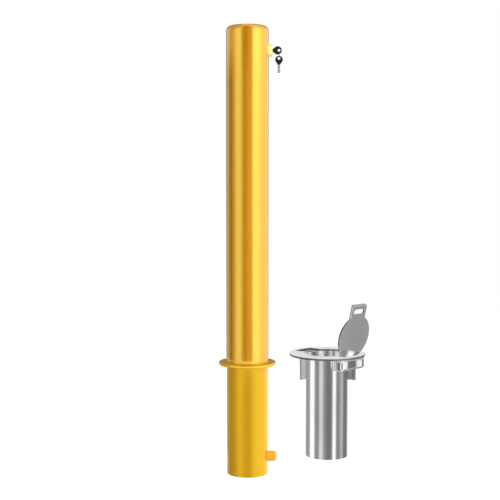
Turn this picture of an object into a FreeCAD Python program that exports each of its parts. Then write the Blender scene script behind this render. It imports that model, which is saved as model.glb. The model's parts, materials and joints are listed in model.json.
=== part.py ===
"""Locking bollard: a removable steel post with a key lock, and the ground receiver that it stands in.

Origin on the post's axis at its foot, +Z up, +X towards the lock and the bolt, +Y to the back.
The receiver stands apart on the same floor with its lid open. Millimetres.
"""
import FreeCAD, Part
import math
import os

# Post
POST_RADIUS = 57.15
POST_WALL = 3.2
HEIGHT_ABOVE_COLLAR = 914.0
INSERT_LENGTH = 300.0
FOOT_STEP = 1.55
FOOT_RELIEF = 0.6
RELIEF_ABOVE_BOLT = 4.0
CAP_SHOULDER = 14.0
CAP_CROWN = 4.0
CAP_WALL = 4.0
CAP_SPIGOT = 12.0
COLLAR_RADIUS = 77.5
COLLAR_THICKNESS = 8.0
COLLAR_EDGE = 2.5
END_PLATE_THICKNESS = 6.0
DRAIN_RADIUS = 6.0
DRAIN_OFFSET = 36.0
WELD_GAP = 0.1

# Lock in the post's wall
LOCK_DROP = 67.0
BOSS_RADIUS = 16.5
BOSS_STAND = 10.0
BOSS_DEPTH = 7.0
BOSS_EDGE = 2.5
LOCK_RADIUS = 11.0
LOCK_RIM_RADIUS = 13.5
LOCK_RIM = 2.0
LOCK_TAIL_X = 16.0
NUT_FLATS = 30.0
NUT_THICKNESS = 5.0
PLUG_RADIUS = 7.0
PLUG_CLEARANCE = 0.08
PLUG_RECESS = 0.2
TAIL_RADIUS = 5.0
KEYWAY_HEIGHT = 8.6
KEYWAY_WIDTH = 2.6
KEYWAY_DEPTH = 30.0

# Crank on the plug, the rod that it lifts and the bolt that the rod draws in
KEY_TRAVEL = 90.0
CRANK_RADIUS = 17.8
CAM_THICKNESS = 6.0
CAM_HUB_RADIUS = 11.0
CAM_LOBE_RADIUS = 8.0
CAM_GAP = 2.0
CRANK_PIN_RADIUS = 4.0
YOKE_PLAY = 0.8
YOKE_THICKNESS = 5.0
YOKE_MARGIN = 7.0
YOKE_BACK = 9.0
YOKE_NECK = 8.0
SCREW_RADIUS = 2.5
SCREW_HEAD_RADIUS = 4.5
SCREW_HEAD = 2.4
SCREW_LENGTH = 12.0
ROD_RADIUS = 7.0
TONGUE_LENGTH = 24.0
TONGUE_HALF = 7.0
JOINT_PIN_RADIUS = 2.5
GUIDE_ABOVE_BOLT = 104.0
GUIDE_BELOW_LOCK = 112.0
GUIDE_THICKNESS = 6.0
GUIDE_CLEARANCE = 0.1
GUIDE_HOLE_RADIUS = 11.0
GUIDE_HOLE_CIRCLE = 33.0
STOP_RADIUS = 12.0
STOP_HEIGHT = 9.0
SEAT_GAP = 0.2

# Bolt at the post's foot
BOLT_HEIGHT = 46.0
BOLT_RADIUS = 14.0
BOLT_STAND = 24.0
BOLT_NOSE = 7.0
BOLT_CLEARANCE = 0.3
BOLT_SLOT = 7.0
BOLT_PIN_RADIUS = 4.0
BOLT_PIN_PLAY = 0.3
BOLT_PIN_X = -1.0
BOLT_TAIL = 11.0
BUSH_RADIUS = 20.0
BUSH_BACK_X = 30.0
WEDGE_THICKNESS = 6.0
WEDGE_MARGIN = 6.0
WEDGE_NECK = 1.0

# Keys
BOW_RADIUS = 11.0
BOW_THICKNESS = 3.6
BOW_HOLE_RADIUS = 3.7
BOW_CENTRE_OUT = 14.1
BOW_HOLE_SHIFT = 3.5
NECK_HALF = 3.8
SPARE_BOW_RADIUS = 10.2
SPARE_POINT = 13.0
BLADE_THICKNESS = 2.2
BLADE_HEIGHT = 7.4
BLADE_LENGTH = 27.0
SPARE_BLADE_LENGTH = 22.0
BLADE_ROOT = 8.0
BITTINGS = (1.2, 2.0, 0.8, 1.6)
BITTING_RADIUS = 1.9
RING_WIRE_RADIUS = 0.8
RING_RADIUS = 7.95
RING_SEAT = 0.25

# Ground receiver
RECEIVER_X = 231.0
RECEIVER_Y = 190.0
RECEIVER_CLEARANCE = 3.0
RECEIVER_WALL = 2.5
FLANGE_WIDTH = 51.4
FLANGE_THICKNESS = 6.0
FLANGE_EDGE = 0.8
FLANGE_CLEARANCE = 0.6
LID_SEAT_DEPTH = 4.2
SEAT_RING_WIDTH = 11.0
SEAT_RING_THICKNESS = 6.0
KEEPER_CLEARANCE = 3.0
KEEPER_DEPTH = 30.0
KEEPER_SHEET = 2.5
KEEPER_MARGIN = 6.0
ANCHOR_SHEET = 3.0
ANCHOR_HEIGHT = 73.0
ANCHOR_WEB = 11.0
ANCHOR_LEG = 13.0
ANCHOR_FOLD = 55.0

# Lid and its sunk hinge
HINGE_ANGLE = -45.0
OPEN_ANGLE = 103.0
LID_OVERLAP = 5.9
LID_THICKNESS = 4.0
CHORD_STEP = 1.6
LID_GAP = 1.0
TAB_HALF = 33.0
TAB_OUTSET = 36.9
TAB_CORNER = 6.0
TAB_LIP = 5.0
TAB_LIP_THICKNESS = 4.0
GRIP_OUTSET = 17.4
GRIP_HALF_LENGTH = 21.5
GRIP_HALF_WIDTH = 7.0
TONGUE_SPREAD = 20.0
TONGUE_HALF_WIDTH = 5.0
TONGUE_GAP = 0.7
PIN_OUTSET = 14.2
PIN_DROP = 12.0
HINGE_PIN_RADIUS = 4.0
HINGE_PIN_CLEARANCE = 0.08
HINGE_PIN_HALF = 34.0
ARM_THICKNESS = 8.0
ARM_EYE_RADIUS = 8.0
ARM_OUTSET = 3.9
LUG_SPREAD = 29.0
LUG_THICKNESS = 5.0
LUG_HALF = 8.0
WELL_OUTSET = 20.4
WELL_LENGTH = 116.0
WELL_WIDTH = 42.0
WELL_DEPTH = 32.0
WELL_SHEET = 2.5
WELL_CORNER = 7.0
TRAY_DEPTH = 8.0
TRAY_SHEET = 2.0
TRAY_MARGIN = 2.0
RIM_MARGIN = 2.0

# Worked out from the sizes above
X_AXIS = FreeCAD.Vector(1, 0, 0)
Y_AXIS = FreeCAD.Vector(0, 1, 0)
Z_AXIS = FreeCAD.Vector(0, 0, 1)
ORIGIN = FreeCAD.Vector(0, 0, 0)
POST_HEIGHT = INSERT_LENGTH + HEIGHT_ABOVE_COLLAR
POST_BORE = POST_RADIUS - POST_WALL
FOOT_RADIUS = POST_RADIUS - FOOT_STEP
FOOT_BORE = FOOT_RADIUS - POST_WALL
RELIEF_TOP = BOLT_HEIGHT + BOLT_RADIUS + RELIEF_ABOVE_BOLT
TUBE_TOP = POST_HEIGHT - CAP_CROWN - CAP_SHOULDER
LOCK_HEIGHT = POST_HEIGHT - LOCK_DROP
LOCK_FACE = POST_RADIUS + BOSS_STAND
BOSS_BACK = POST_RADIUS - BOSS_DEPTH
CRANK_DROP = CRANK_RADIUS * math.sin(math.radians(KEY_TRAVEL / 2))
CRANK_SIDE = CRANK_RADIUS * math.cos(math.radians(KEY_TRAVEL / 2))
LIFT = 2 * CRANK_DROP
CAM_BACK = LOCK_TAIL_X - CAM_GAP - CAM_THICKNESS
YOKE_HEIGHT = LOCK_HEIGHT - CRANK_DROP
YOKE_SLOT = CRANK_PIN_RADIUS + YOKE_PLAY
YOKE_FOOT = YOKE_HEIGHT - YOKE_SLOT - YOKE_MARGIN - YOKE_NECK
ROD_TOP = YOKE_FOOT - SEAT_GAP
WEDGE_SLOT = BOLT_PIN_RADIUS + BOLT_PIN_PLAY
WEDGE_TOP = BOLT_HEIGHT + BOLT_RADIUS + WEDGE_NECK
WEDGE_FRONT = BOLT_PIN_X + WEDGE_SLOT + WEDGE_MARGIN
WEDGE_BACK = BOLT_PIN_X - LIFT - WEDGE_SLOT - WEDGE_MARGIN
WEDGE_FOOT = BOLT_HEIGHT - LIFT - WEDGE_SLOT - WEDGE_MARGIN
ROD_FOOT = WEDGE_TOP + SEAT_GAP
FORK_END = WEDGE_FRONT + LIFT + 1.0
GUIDE_LOW = BOLT_HEIGHT + GUIDE_ABOVE_BOLT
GUIDE_HIGH = LOCK_HEIGHT - GUIDE_BELOW_LOCK
GUIDE_MIDDLE = (GUIDE_LOW + GUIDE_HIGH) / 2
RECEIVER_BORE = FOOT_RADIUS + RECEIVER_CLEARANCE
RECEIVER_RADIUS = RECEIVER_BORE + RECEIVER_WALL
FLANGE_RADIUS = RECEIVER_BORE + FLANGE_WIDTH
LID_RADIUS = RECEIVER_BORE + LID_OVERLAP
LID_CHORD = RECEIVER_BORE - CHORD_STEP
TAB_REACH = RECEIVER_BORE + TAB_OUTSET
GRIP_CENTRE = RECEIVER_BORE + GRIP_OUTSET
PIN_REACH = RECEIVER_BORE + PIN_OUTSET
ARM_REACH = RECEIVER_BORE + ARM_OUTSET
WELL_REACH = RECEIVER_BORE + WELL_OUTSET
FLANGE_TOP = INSERT_LENGTH
FLANGE_FOOT = FLANGE_TOP - FLANGE_THICKNESS
RIM_TOP = FLANGE_TOP - LID_SEAT_DEPTH
PIN_HEIGHT = FLANGE_TOP - PIN_DROP
PIN_POINT = FreeCAD.Vector(PIN_REACH, 0, PIN_HEIGHT)
HINGE_POINT_REACH = PIN_REACH - PIN_DROP * math.cos(math.radians(OPEN_ANGLE))


def vec(x, y, z):
    return FreeCAD.Vector(x, y, z)


def rod(radius, start, end):
    """Round bar from one point to another."""
    along = end - start
    return Part.makeCylinder(radius, along.Length, start, along)


def block(x_span, y_span, z_span):
    """Box between two values on each axis."""
    corner = vec(x_span[0], y_span[0], z_span[0])
    return Part.makeBox(x_span[1] - x_span[0], y_span[1] - y_span[0], z_span[1] - z_span[0], corner)


def ring(outer, inner, z_span):
    """Flat ring about the Z axis."""
    low = vec(0, 0, z_span[0])
    high = vec(0, 0, z_span[1])
    return rod(outer, low, high).cut(rod(inner, low, high))


def polygon_face(points):
    return Part.Face(Part.makePolygon(points + [points[0]]))


def capsule(first, second, radius, push):
    """Straight slot shape between two centres, pushed along a vector."""
    direction = (second - first).normalize()
    side = push.cross(direction).normalize() * radius
    far = direction * radius
    edges = [
        Part.LineSegment(first + side, second + side).toShape(),
        Part.Arc(second + side, second + far, second - side).toShape(),
        Part.LineSegment(second - side, first - side).toShape(),
        Part.Arc(first - side, first - far, first + side).toShape(),
    ]
    return Part.Face(Part.Wire(edges)).extrude(push)


def edges_at_radius(shape, radius, tolerance=0.01):
    """Round edges of one radius."""
    found = []
    for edge in shape.Edges:
        if edge.Degenerated or not isinstance(edge.Curve, Part.Circle):
            continue
        if abs(edge.Curve.Radius - radius) < tolerance:
            found.append(edge)
    return found


def upright_edges(shape):
    """Straight edges that run along Z."""
    found = []
    for edge in shape.Edges:
        if isinstance(edge.Curve, Part.Line) and abs(edge.tangentAt(edge.FirstParameter).z) > 0.99:
            found.append(edge)
    return found


def to_receiver(shape, angle=HINGE_ANGLE):
    """Turns a shape about the receiver's axis and carries it to where the receiver stands."""
    placed = shape.copy()
    placed.rotate(ORIGIN, Z_AXIS, angle)
    placed.translate(vec(RECEIVER_X, RECEIVER_Y, 0))
    return placed


def post_tube():
    """Round steel tube above the ground, with the hole for the lock boss."""
    tube = ring(POST_RADIUS, POST_BORE, (INSERT_LENGTH, TUBE_TOP))
    lock_hole = rod(BOSS_RADIUS + WELD_GAP, vec(0, 0, LOCK_HEIGHT), vec(LOCK_FACE, 0, LOCK_HEIGHT))
    return tube.cut(lock_hole)


def foot_tube():
    """Slightly slimmer tube that goes into the receiver, relieved at its lower end, with the bolt's hole."""
    tube = ring(FOOT_RADIUS, FOOT_BORE, (0, INSERT_LENGTH - WELD_GAP))
    tube = tube.cut(ring(FOOT_RADIUS + FOOT_RELIEF, FOOT_RADIUS - FOOT_RELIEF, (0, RELIEF_TOP)))
    bolt_reach = FOOT_RADIUS + BOLT_STAND
    bolt_hole = rod(BOLT_RADIUS + BOLT_CLEARANCE, vec(0, 0, BOLT_HEIGHT), vec(bolt_reach, 0, BOLT_HEIGHT))
    return tube.cut(bolt_hole)


def dome(radius, foot, top, shoulder):
    """Round block with a slightly crowned top and a rounded shoulder."""
    sphere_radius = (radius ** 2 + CAP_CROWN ** 2) / (2 * CAP_CROWN)
    body = rod(radius, vec(0, 0, foot), vec(0, 0, top))
    body = body.common(Part.makeSphere(sphere_radius, vec(0, 0, top - sphere_radius)))
    rim = [e for e in edges_at_radius(body, radius) if e.CenterOfMass.z > foot + CAP_SPIGOT / 2]
    return body.makeFillet(shoulder, rim)


def top_cap():
    """Pressed cap with a rounded shoulder, a slight crown and a spigot inside the tube."""
    spigot_radius = POST_BORE - WELD_GAP
    spigot_foot = TUBE_TOP - CAP_SPIGOT
    outside = dome(POST_RADIUS, TUBE_TOP, POST_HEIGHT, CAP_SHOULDER)
    outside = outside.fuse(rod(spigot_radius, vec(0, 0, spigot_foot), vec(0, 0, TUBE_TOP)))
    inside = dome(spigot_radius - CAP_WALL, spigot_foot, POST_HEIGHT - CAP_WALL, CAP_SHOULDER - CAP_WALL)
    return outside.cut(inside)


def collar_plate():
    """Ring welded round the post, which rests on the receiver's flange."""
    low = INSERT_LENGTH
    high = low + COLLAR_THICKNESS
    plate = ring(COLLAR_RADIUS, POST_RADIUS + WELD_GAP, (low, high))
    return plate.makeFillet(COLLAR_EDGE, edges_at_radius(plate, COLLAR_RADIUS))


def end_plate():
    """Disc welded inside the foot of the tube, with a drain hole."""
    plate = rod(FOOT_BORE - WELD_GAP, ORIGIN, vec(0, 0, END_PLATE_THICKNESS))
    drain_top = vec(-DRAIN_OFFSET, 0, END_PLATE_THICKNESS)
    return plate.cut(rod(DRAIN_RADIUS, vec(-DRAIN_OFFSET, 0, 0), drain_top))


def lock_boss():
    """Round boss welded in the post's wall, counterbored for the lock's rim."""
    back = vec(BOSS_BACK, 0, LOCK_HEIGHT)
    face = vec(LOCK_FACE, 0, LOCK_HEIGHT)
    boss = rod(BOSS_RADIUS, back, face)
    outer = [e for e in edges_at_radius(boss, BOSS_RADIUS) if e.CenterOfMass.x > POST_RADIUS]
    boss = boss.makeFillet(BOSS_EDGE, outer)
    boss = boss.cut(rod(LOCK_RADIUS + WELD_GAP, back, face))
    rim_floor = vec(LOCK_FACE - LOCK_RIM, 0, LOCK_HEIGHT)
    return boss.cut(rod(LOCK_RIM_RADIUS + WELD_GAP, rim_floor, face))


def lock_housing():
    """Fixed barrel of the lock with its front rim."""
    tail = vec(LOCK_TAIL_X, 0, LOCK_HEIGHT)
    face = vec(LOCK_FACE, 0, LOCK_HEIGHT)
    rim_floor = vec(LOCK_FACE - LOCK_RIM, 0, LOCK_HEIGHT)
    barrel = rod(LOCK_RADIUS, tail, face).fuse(rod(LOCK_RIM_RADIUS, rim_floor, face))
    return barrel.removeSplitter().cut(rod(PLUG_RADIUS, tail, face))


def lock_nut():
    """Hexagon nut that holds the lock against the boss from inside."""
    corner = NUT_FLATS / math.sqrt(3)
    back = BOSS_BACK - NUT_THICKNESS
    points = []
    for index in range(6):
        angle = math.radians(60 * index)
        points.append(vec(back, corner * math.cos(angle), LOCK_HEIGHT + corner * math.sin(angle)))
    nut = polygon_face(points).extrude(X_AXIS * NUT_THICKNESS)
    return nut.cut(rod(LOCK_RADIUS, vec(back, 0, LOCK_HEIGHT), vec(BOSS_BACK, 0, LOCK_HEIGHT)))


def lock_plug():
    """Turning core of the lock with its keyway, and the tail that carries the cam."""
    front = LOCK_FACE - PLUG_RECESS
    tail = vec(CAM_BACK, 0, LOCK_HEIGHT)
    core = rod(PLUG_RADIUS - PLUG_CLEARANCE, vec(LOCK_TAIL_X, 0, LOCK_HEIGHT), vec(front, 0, LOCK_HEIGHT))
    plug = core.fuse(rod(TAIL_RADIUS, tail, vec(LOCK_TAIL_X, 0, LOCK_HEIGHT))).removeSplitter()
    half_height = KEYWAY_HEIGHT / 2
    half_width = KEYWAY_WIDTH / 2
    heights = (LOCK_HEIGHT - half_height, LOCK_HEIGHT + half_height)
    keyway = block((front - KEYWAY_DEPTH, front), (-half_width, half_width), heights)
    screw_hole = rod(SCREW_RADIUS, tail, vec(CAM_BACK + SCREW_LENGTH, 0, LOCK_HEIGHT))
    return plug.cut(keyway).cut(screw_hole)


def crank_pin_centre(x):
    """Centre of the crank pin with the lock locked."""
    return vec(x, -CRANK_SIDE, LOCK_HEIGHT - CRANK_DROP)


def lock_cam():
    """Crank arm on the plug's tail."""
    hub_centre = vec(CAM_BACK, 0, LOCK_HEIGHT)
    lobe_centre = crank_pin_centre(CAM_BACK)
    push = X_AXIS * CAM_THICKNESS
    hub = rod(CAM_HUB_RADIUS, hub_centre, hub_centre + push)
    arm = capsule(hub_centre, lobe_centre, CAM_LOBE_RADIUS, push)
    cam = hub.fuse(arm).removeSplitter()
    cam = cam.cut(rod(TAIL_RADIUS, hub_centre, hub_centre + push))
    return cam.cut(rod(CRANK_PIN_RADIUS, lobe_centre, lobe_centre + push))


def crank_pin():
    """Pin riveted in the cam, running in the yoke's slot."""
    front = crank_pin_centre(CAM_BACK + CAM_THICKNESS)
    back = crank_pin_centre(-YOKE_THICKNESS / 2 - CAM_GAP)
    return rod(CRANK_PIN_RADIUS, back, front)


def cam_screw():
    """Screw that holds the cam on the plug."""
    seat = vec(CAM_BACK, 0, LOCK_HEIGHT)
    head = rod(SCREW_HEAD_RADIUS, seat - X_AXIS * SCREW_HEAD, seat)
    shank = rod(SCREW_RADIUS, seat, seat + X_AXIS * SCREW_LENGTH)
    socket = rod(SCREW_RADIUS / 2, seat - X_AXIS * SCREW_HEAD, seat - X_AXIS * (SCREW_HEAD / 2))
    return head.fuse(shank).cut(socket)


def yoke_plate():
    """Plate at the rod's head with the level slot that the crank pin lifts."""
    half = YOKE_THICKNESS / 2
    slot_near = -CRANK_SIDE + YOKE_PLAY
    slot_far = -CRANK_RADIUS - YOKE_PLAY
    reach = YOKE_SLOT + YOKE_MARGIN
    plate = block((-half, half), (slot_far - reach, YOKE_BACK), (YOKE_FOOT, YOKE_HEIGHT + reach))
    tongue = block((-half, half), (-TONGUE_HALF, TONGUE_HALF), (ROD_TOP - TONGUE_LENGTH, YOKE_FOOT))
    push = X_AXIS * YOKE_THICKNESS
    slot = capsule(vec(-half, slot_near, YOKE_HEIGHT), vec(-half, slot_far, YOKE_HEIGHT), YOKE_SLOT, push)
    plate = plate.fuse(tongue).removeSplitter().cut(slot)
    pin_height = ROD_TOP - TONGUE_LENGTH / 2
    return plate.cut(rod(JOINT_PIN_RADIUS, vec(-ROD_RADIUS, 0, pin_height), vec(ROD_RADIUS, 0, pin_height)))


def lift_rod():
    """Long rod, slotted at both ends for the yoke and the wedge plate."""
    bar = rod(ROD_RADIUS, vec(0, 0, ROD_FOOT), vec(0, 0, ROD_TOP))
    yoke_half = YOKE_THICKNESS / 2 + WELD_GAP
    wedge_half = WEDGE_THICKNESS / 2 + WELD_GAP
    across = (-ROD_RADIUS, ROD_RADIUS)
    top_slot = block((-yoke_half, yoke_half), across, (ROD_TOP - TONGUE_LENGTH - SEAT_GAP, ROD_TOP))
    foot_slot = block(across, (-wedge_half, wedge_half), (ROD_FOOT, ROD_FOOT + TONGUE_LENGTH + SEAT_GAP))
    bar = bar.cut(top_slot).cut(foot_slot)
    top_pin = ROD_TOP - TONGUE_LENGTH / 2
    foot_pin = ROD_FOOT + TONGUE_LENGTH / 2
    bar = bar.cut(rod(JOINT_PIN_RADIUS, vec(-ROD_RADIUS, 0, top_pin), vec(ROD_RADIUS, 0, top_pin)))
    return bar.cut(rod(JOINT_PIN_RADIUS, vec(0, -ROD_RADIUS, foot_pin), vec(0, ROD_RADIUS, foot_pin)))


def rod_pins():
    """Two cross pins that tie the rod to its yoke and to its wedge plate."""
    top_pin = ROD_TOP - TONGUE_LENGTH / 2
    foot_pin = ROD_FOOT + TONGUE_LENGTH / 2
    upper = rod(JOINT_PIN_RADIUS, vec(-ROD_RADIUS, 0, top_pin), vec(ROD_RADIUS, 0, top_pin))
    lower = rod(JOINT_PIN_RADIUS, vec(0, -ROD_RADIUS, foot_pin), vec(0, ROD_RADIUS, foot_pin))
    return Part.makeCompound([upper, lower])


def rod_guide(height, tube_bore):
    """Disc welded in the tube that guides the rod, with three openings round it."""
    low = height - GUIDE_THICKNESS / 2
    high = height + GUIDE_THICKNESS / 2
    disc = ring(tube_bore - WELD_GAP, ROD_RADIUS + GUIDE_CLEARANCE, (low, high))
    for index in range(3):
        angle = math.radians(60 + 120 * index)
        x = GUIDE_HOLE_CIRCLE * math.cos(angle)
        y = GUIDE_HOLE_CIRCLE * math.sin(angle)
        disc = disc.cut(rod(GUIDE_HOLE_RADIUS, vec(x, y, low), vec(x, y, high)))
    return disc


def stop_span():
    """Heights of the rod's stop ring, which rests on the top guide."""
    low = GUIDE_HIGH + GUIDE_THICKNESS / 2 + SEAT_GAP
    return low, low + STOP_HEIGHT


def rod_stop():
    """Ring on the rod that rests on the top guide while the bolt is out."""
    low, high = stop_span()
    stop = ring(STOP_RADIUS, ROD_RADIUS, (low, high))
    middle = (low + high) / 2
    return stop.cut(rod(SCREW_RADIUS, vec(0, -ROD_RADIUS, middle), vec(0, -STOP_RADIUS, middle)))


def stop_screw():
    """Grub screw in the stop ring."""
    low, high = stop_span()
    middle = (low + high) / 2
    return rod(SCREW_RADIUS, vec(0, -ROD_RADIUS, middle), vec(0, -STOP_RADIUS, middle))


def wedge_plate():
    """Plate at the rod's foot with the slanting slot that draws the bolt in."""
    half = WEDGE_THICKNESS / 2
    start = vec(BOLT_PIN_X, -half, BOLT_HEIGHT)
    end = vec(BOLT_PIN_X - LIFT, -half, BOLT_HEIGHT - LIFT)
    points = [
        vec(WEDGE_FRONT, -half, WEDGE_TOP),
        vec(-TONGUE_HALF, -half, WEDGE_TOP),
        vec(WEDGE_BACK, -half, WEDGE_FOOT + LIFT),
        vec(WEDGE_BACK, -half, WEDGE_FOOT),
        vec(WEDGE_FRONT - LIFT / 2, -half, WEDGE_FOOT),
        vec(WEDGE_FRONT, -half, WEDGE_FOOT + LIFT / 2),
    ]
    plate = polygon_face(points).extrude(Y_AXIS * WEDGE_THICKNESS)
    tongue = block((-TONGUE_HALF + 1, TONGUE_HALF - 1), (-half, half), (WEDGE_TOP, ROD_FOOT + TONGUE_LENGTH))
    plate = plate.fuse(tongue).removeSplitter()
    plate = plate.cut(capsule(start, end, WEDGE_SLOT, Y_AXIS * WEDGE_THICKNESS))
    foot_pin = ROD_FOOT + TONGUE_LENGTH / 2
    return plate.cut(rod(JOINT_PIN_RADIUS, vec(0, -ROD_RADIUS, foot_pin), vec(0, ROD_RADIUS, foot_pin)))


def lock_bolt():
    """Round bolt with a rounded nose, forked at its tail round the wedge plate."""
    nose = FOOT_RADIUS + BOLT_STAND
    tail = BOLT_PIN_X - BOLT_TAIL
    bar = rod(BOLT_RADIUS, vec(tail, 0, BOLT_HEIGHT), vec(nose, 0, BOLT_HEIGHT))
    nose_edge = [e for e in edges_at_radius(bar, BOLT_RADIUS) if e.CenterOfMass.x > FOOT_RADIUS]
    bar = bar.makeFillet(BOLT_NOSE, nose_edge)
    half = BOLT_SLOT / 2
    heights = (BOLT_HEIGHT - BOLT_RADIUS, BOLT_HEIGHT + BOLT_RADIUS)
    bar = bar.cut(block((tail, FORK_END), (-half, half), heights))
    pin_hole = rod(BOLT_PIN_RADIUS, vec(BOLT_PIN_X, -BOLT_RADIUS, BOLT_HEIGHT),
                   vec(BOLT_PIN_X, BOLT_RADIUS, BOLT_HEIGHT))
    return bar.cut(pin_hole)


def bolt_pin():
    """Cross pin of the bolt, running in the wedge plate's slot."""
    reach = BOLT_RADIUS - 1.5
    return rod(BOLT_PIN_RADIUS, vec(BOLT_PIN_X, -reach, BOLT_HEIGHT), vec(BOLT_PIN_X, reach, BOLT_HEIGHT))


def bolt_bush():
    """Guide bush welded behind the bolt's hole, shaped to the tube's inside."""
    back = vec(BUSH_BACK_X, 0, BOLT_HEIGHT)
    front = vec(FOOT_RADIUS, 0, BOLT_HEIGHT)
    bush = rod(BUSH_RADIUS, back, front).cut(rod(BOLT_RADIUS + BOLT_CLEARANCE, back, front))
    return bush.common(rod(FOOT_BORE - WELD_GAP, ORIGIN, vec(0, 0, 2 * BOLT_HEIGHT)))


def bow_profile(radius, neck_reach, neck_half):
    """Head of a key in the XZ plane: a disc with a neck towards -X."""
    half = BOW_THICKNESS / 2
    disc = rod(radius, vec(0, -half, 0), vec(0, half, 0))
    shoulder = math.sqrt(radius ** 2 - (1.6 * neck_half) ** 2)
    points = [
        vec(-shoulder, -half, 1.6 * neck_half),
        vec(-neck_reach, -half, neck_half),
        vec(-neck_reach, -half, -neck_half),
        vec(-shoulder, -half, -1.6 * neck_half),
    ]
    return disc.fuse(polygon_face(points).extrude(Y_AXIS * BOW_THICKNESS)).removeSplitter()


def blade_shape(start, end):
    """Flat blade along X with cuts along its lower edge and a bevelled tip."""
    half = BLADE_THICKNESS / 2
    high = BLADE_HEIGHT / 2
    tip = high / 2
    points = [
        vec(start, -half, high),
        vec(end, -half, high),
        vec(end, -half, -high),
        vec(start + tip, -half, -high),
        vec(start, -half, -high + tip),
    ]
    blade = polygon_face(points).extrude(Y_AXIS * BLADE_THICKNESS)
    pitch = 2.4 * BITTING_RADIUS
    for index, depth in enumerate(BITTINGS):
        centre = vec(start + tip + pitch * (index + 1), 0, -high - BITTING_RADIUS + depth)
        blade = blade.cut(rod(BITTING_RADIUS, centre - Y_AXIS * half, centre + Y_AXIS * half))
    return blade


def key_parts(radius, neck_reach, neck_half, blade_length):
    """Head and blade of a key whose bow is centred on the origin."""
    blade = blade_shape(-neck_reach - blade_length, -neck_reach + BLADE_ROOT)
    half = BOW_THICKNESS / 2
    hole = rod(BOW_HOLE_RADIUS, vec(BOW_HOLE_SHIFT, -half, 0), vec(BOW_HOLE_SHIFT, half, 0))
    bow = bow_profile(radius, neck_reach, neck_half).cut(hole).cut(blade)
    rims = edges_at_radius(bow, radius)
    return bow.makeFillet(0.8, rims), blade


def bow_centre():
    return vec(LOCK_FACE + BOW_CENTRE_OUT, 0, LOCK_HEIGHT)


def wire_top():
    """Centre of the ring's wire where it hangs in the first key's hole."""
    drop = BOW_HOLE_RADIUS - RING_WIRE_RADIUS - RING_SEAT
    return bow_centre() + vec(BOW_HOLE_SHIFT, 0, -drop)


def wire_foot():
    """Centre of the ring's wire where the spare key hangs on it."""
    return wire_top() - Z_AXIS * (2 * RING_RADIUS)


def key_ring():
    """Wire ring through both keys, standing across the picture's plane."""
    centre = (wire_top() + wire_foot()) / 2
    return Part.makeTorus(RING_RADIUS, RING_WIRE_RADIUS, centre, X_AXIS)


def key_in_lock():
    neck_reach = BOW_CENTRE_OUT - SEAT_GAP
    bow, blade = key_parts(BOW_RADIUS, neck_reach, NECK_HALF, BLADE_LENGTH)
    for shape in (bow, blade):
        shape.translate(bow_centre())
    return bow, blade


def spare_key():
    """Second key, hanging blade down from the ring."""
    bow, blade = key_parts(SPARE_BOW_RADIUS, SPARE_POINT, BLADE_HEIGHT / 2, SPARE_BLADE_LENGTH)
    drop = BOW_HOLE_RADIUS - RING_WIRE_RADIUS - RING_SEAT
    hole = wire_foot() - Z_AXIS * drop
    for shape in (bow, blade):
        shape.rotate(ORIGIN, Y_AXIS, -90)
        shape.translate(hole - Z_AXIS * BOW_HOLE_SHIFT)
    return bow, blade


def lid_outline(gap, z_low, thickness, tongue_gap, tongue_end):
    """Outline of the lid, grown by a gap, with its tab to -X and its hinge tongues to +X."""
    disc = rod(LID_RADIUS + gap, vec(0, 0, z_low), vec(0, 0, z_low + thickness))
    heights = (z_low, z_low + thickness)
    kept = block((-LID_RADIUS - gap, LID_CHORD + gap), (-LID_RADIUS - gap, LID_RADIUS + gap), heights)
    disc = disc.common(kept)
    half = TAB_HALF + gap
    tab = block((-TAB_REACH - gap, 0), (-half, half), heights)
    corners = [e for e in upright_edges(tab) if e.CenterOfMass.x < -LID_RADIUS]
    outline = disc.fuse(tab.makeFillet(TAB_CORNER, corners))
    for side in (-1, 1):
        middle = side * TONGUE_SPREAD
        width = TONGUE_HALF_WIDTH + tongue_gap
        outline = outline.fuse(block((0, tongue_end), (middle - width, middle + width), heights))
    return outline.removeSplitter()


def open_lid(shape):
    """Swings a piece of the closed lid to its open place, then carries it to the receiver."""
    opened = shape.copy()
    opened.rotate(PIN_POINT, Y_AXIS, OPEN_ANGLE)
    return to_receiver(opened)


def lid_plate():
    """Lid with a folded edge at its lifting tab, a finger slot and two hinge tongues."""
    low = FLANGE_TOP - LID_THICKNESS
    lid = lid_outline(0, low, LID_THICKNESS, 0, PIN_REACH)
    lip_start = -TAB_REACH
    lip_half = TAB_HALF - TAB_CORNER
    lip = block((lip_start, lip_start + TAB_LIP_THICKNESS), (-lip_half, lip_half), (low - TAB_LIP, low))
    lid = lid.fuse(lip).removeSplitter()
    fold = []
    for edge in lid.Edges:
        centre = edge.CenterOfMass
        if isinstance(edge.Curve, Part.Line) and abs(centre.x - lip_start) < 0.01:
            if abs(centre.z - FLANGE_TOP) < 0.01:
                fold.append(edge)
    lid = lid.makeFillet(TAB_LIP_THICKNESS * 0.6, fold)
    reach = GRIP_HALF_LENGTH - GRIP_HALF_WIDTH
    first = vec(-GRIP_CENTRE, -reach, low)
    second = vec(-GRIP_CENTRE, reach, low)
    return open_lid(lid.cut(capsule(first, second, GRIP_HALF_WIDTH, Z_AXIS * LID_THICKNESS)))


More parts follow.
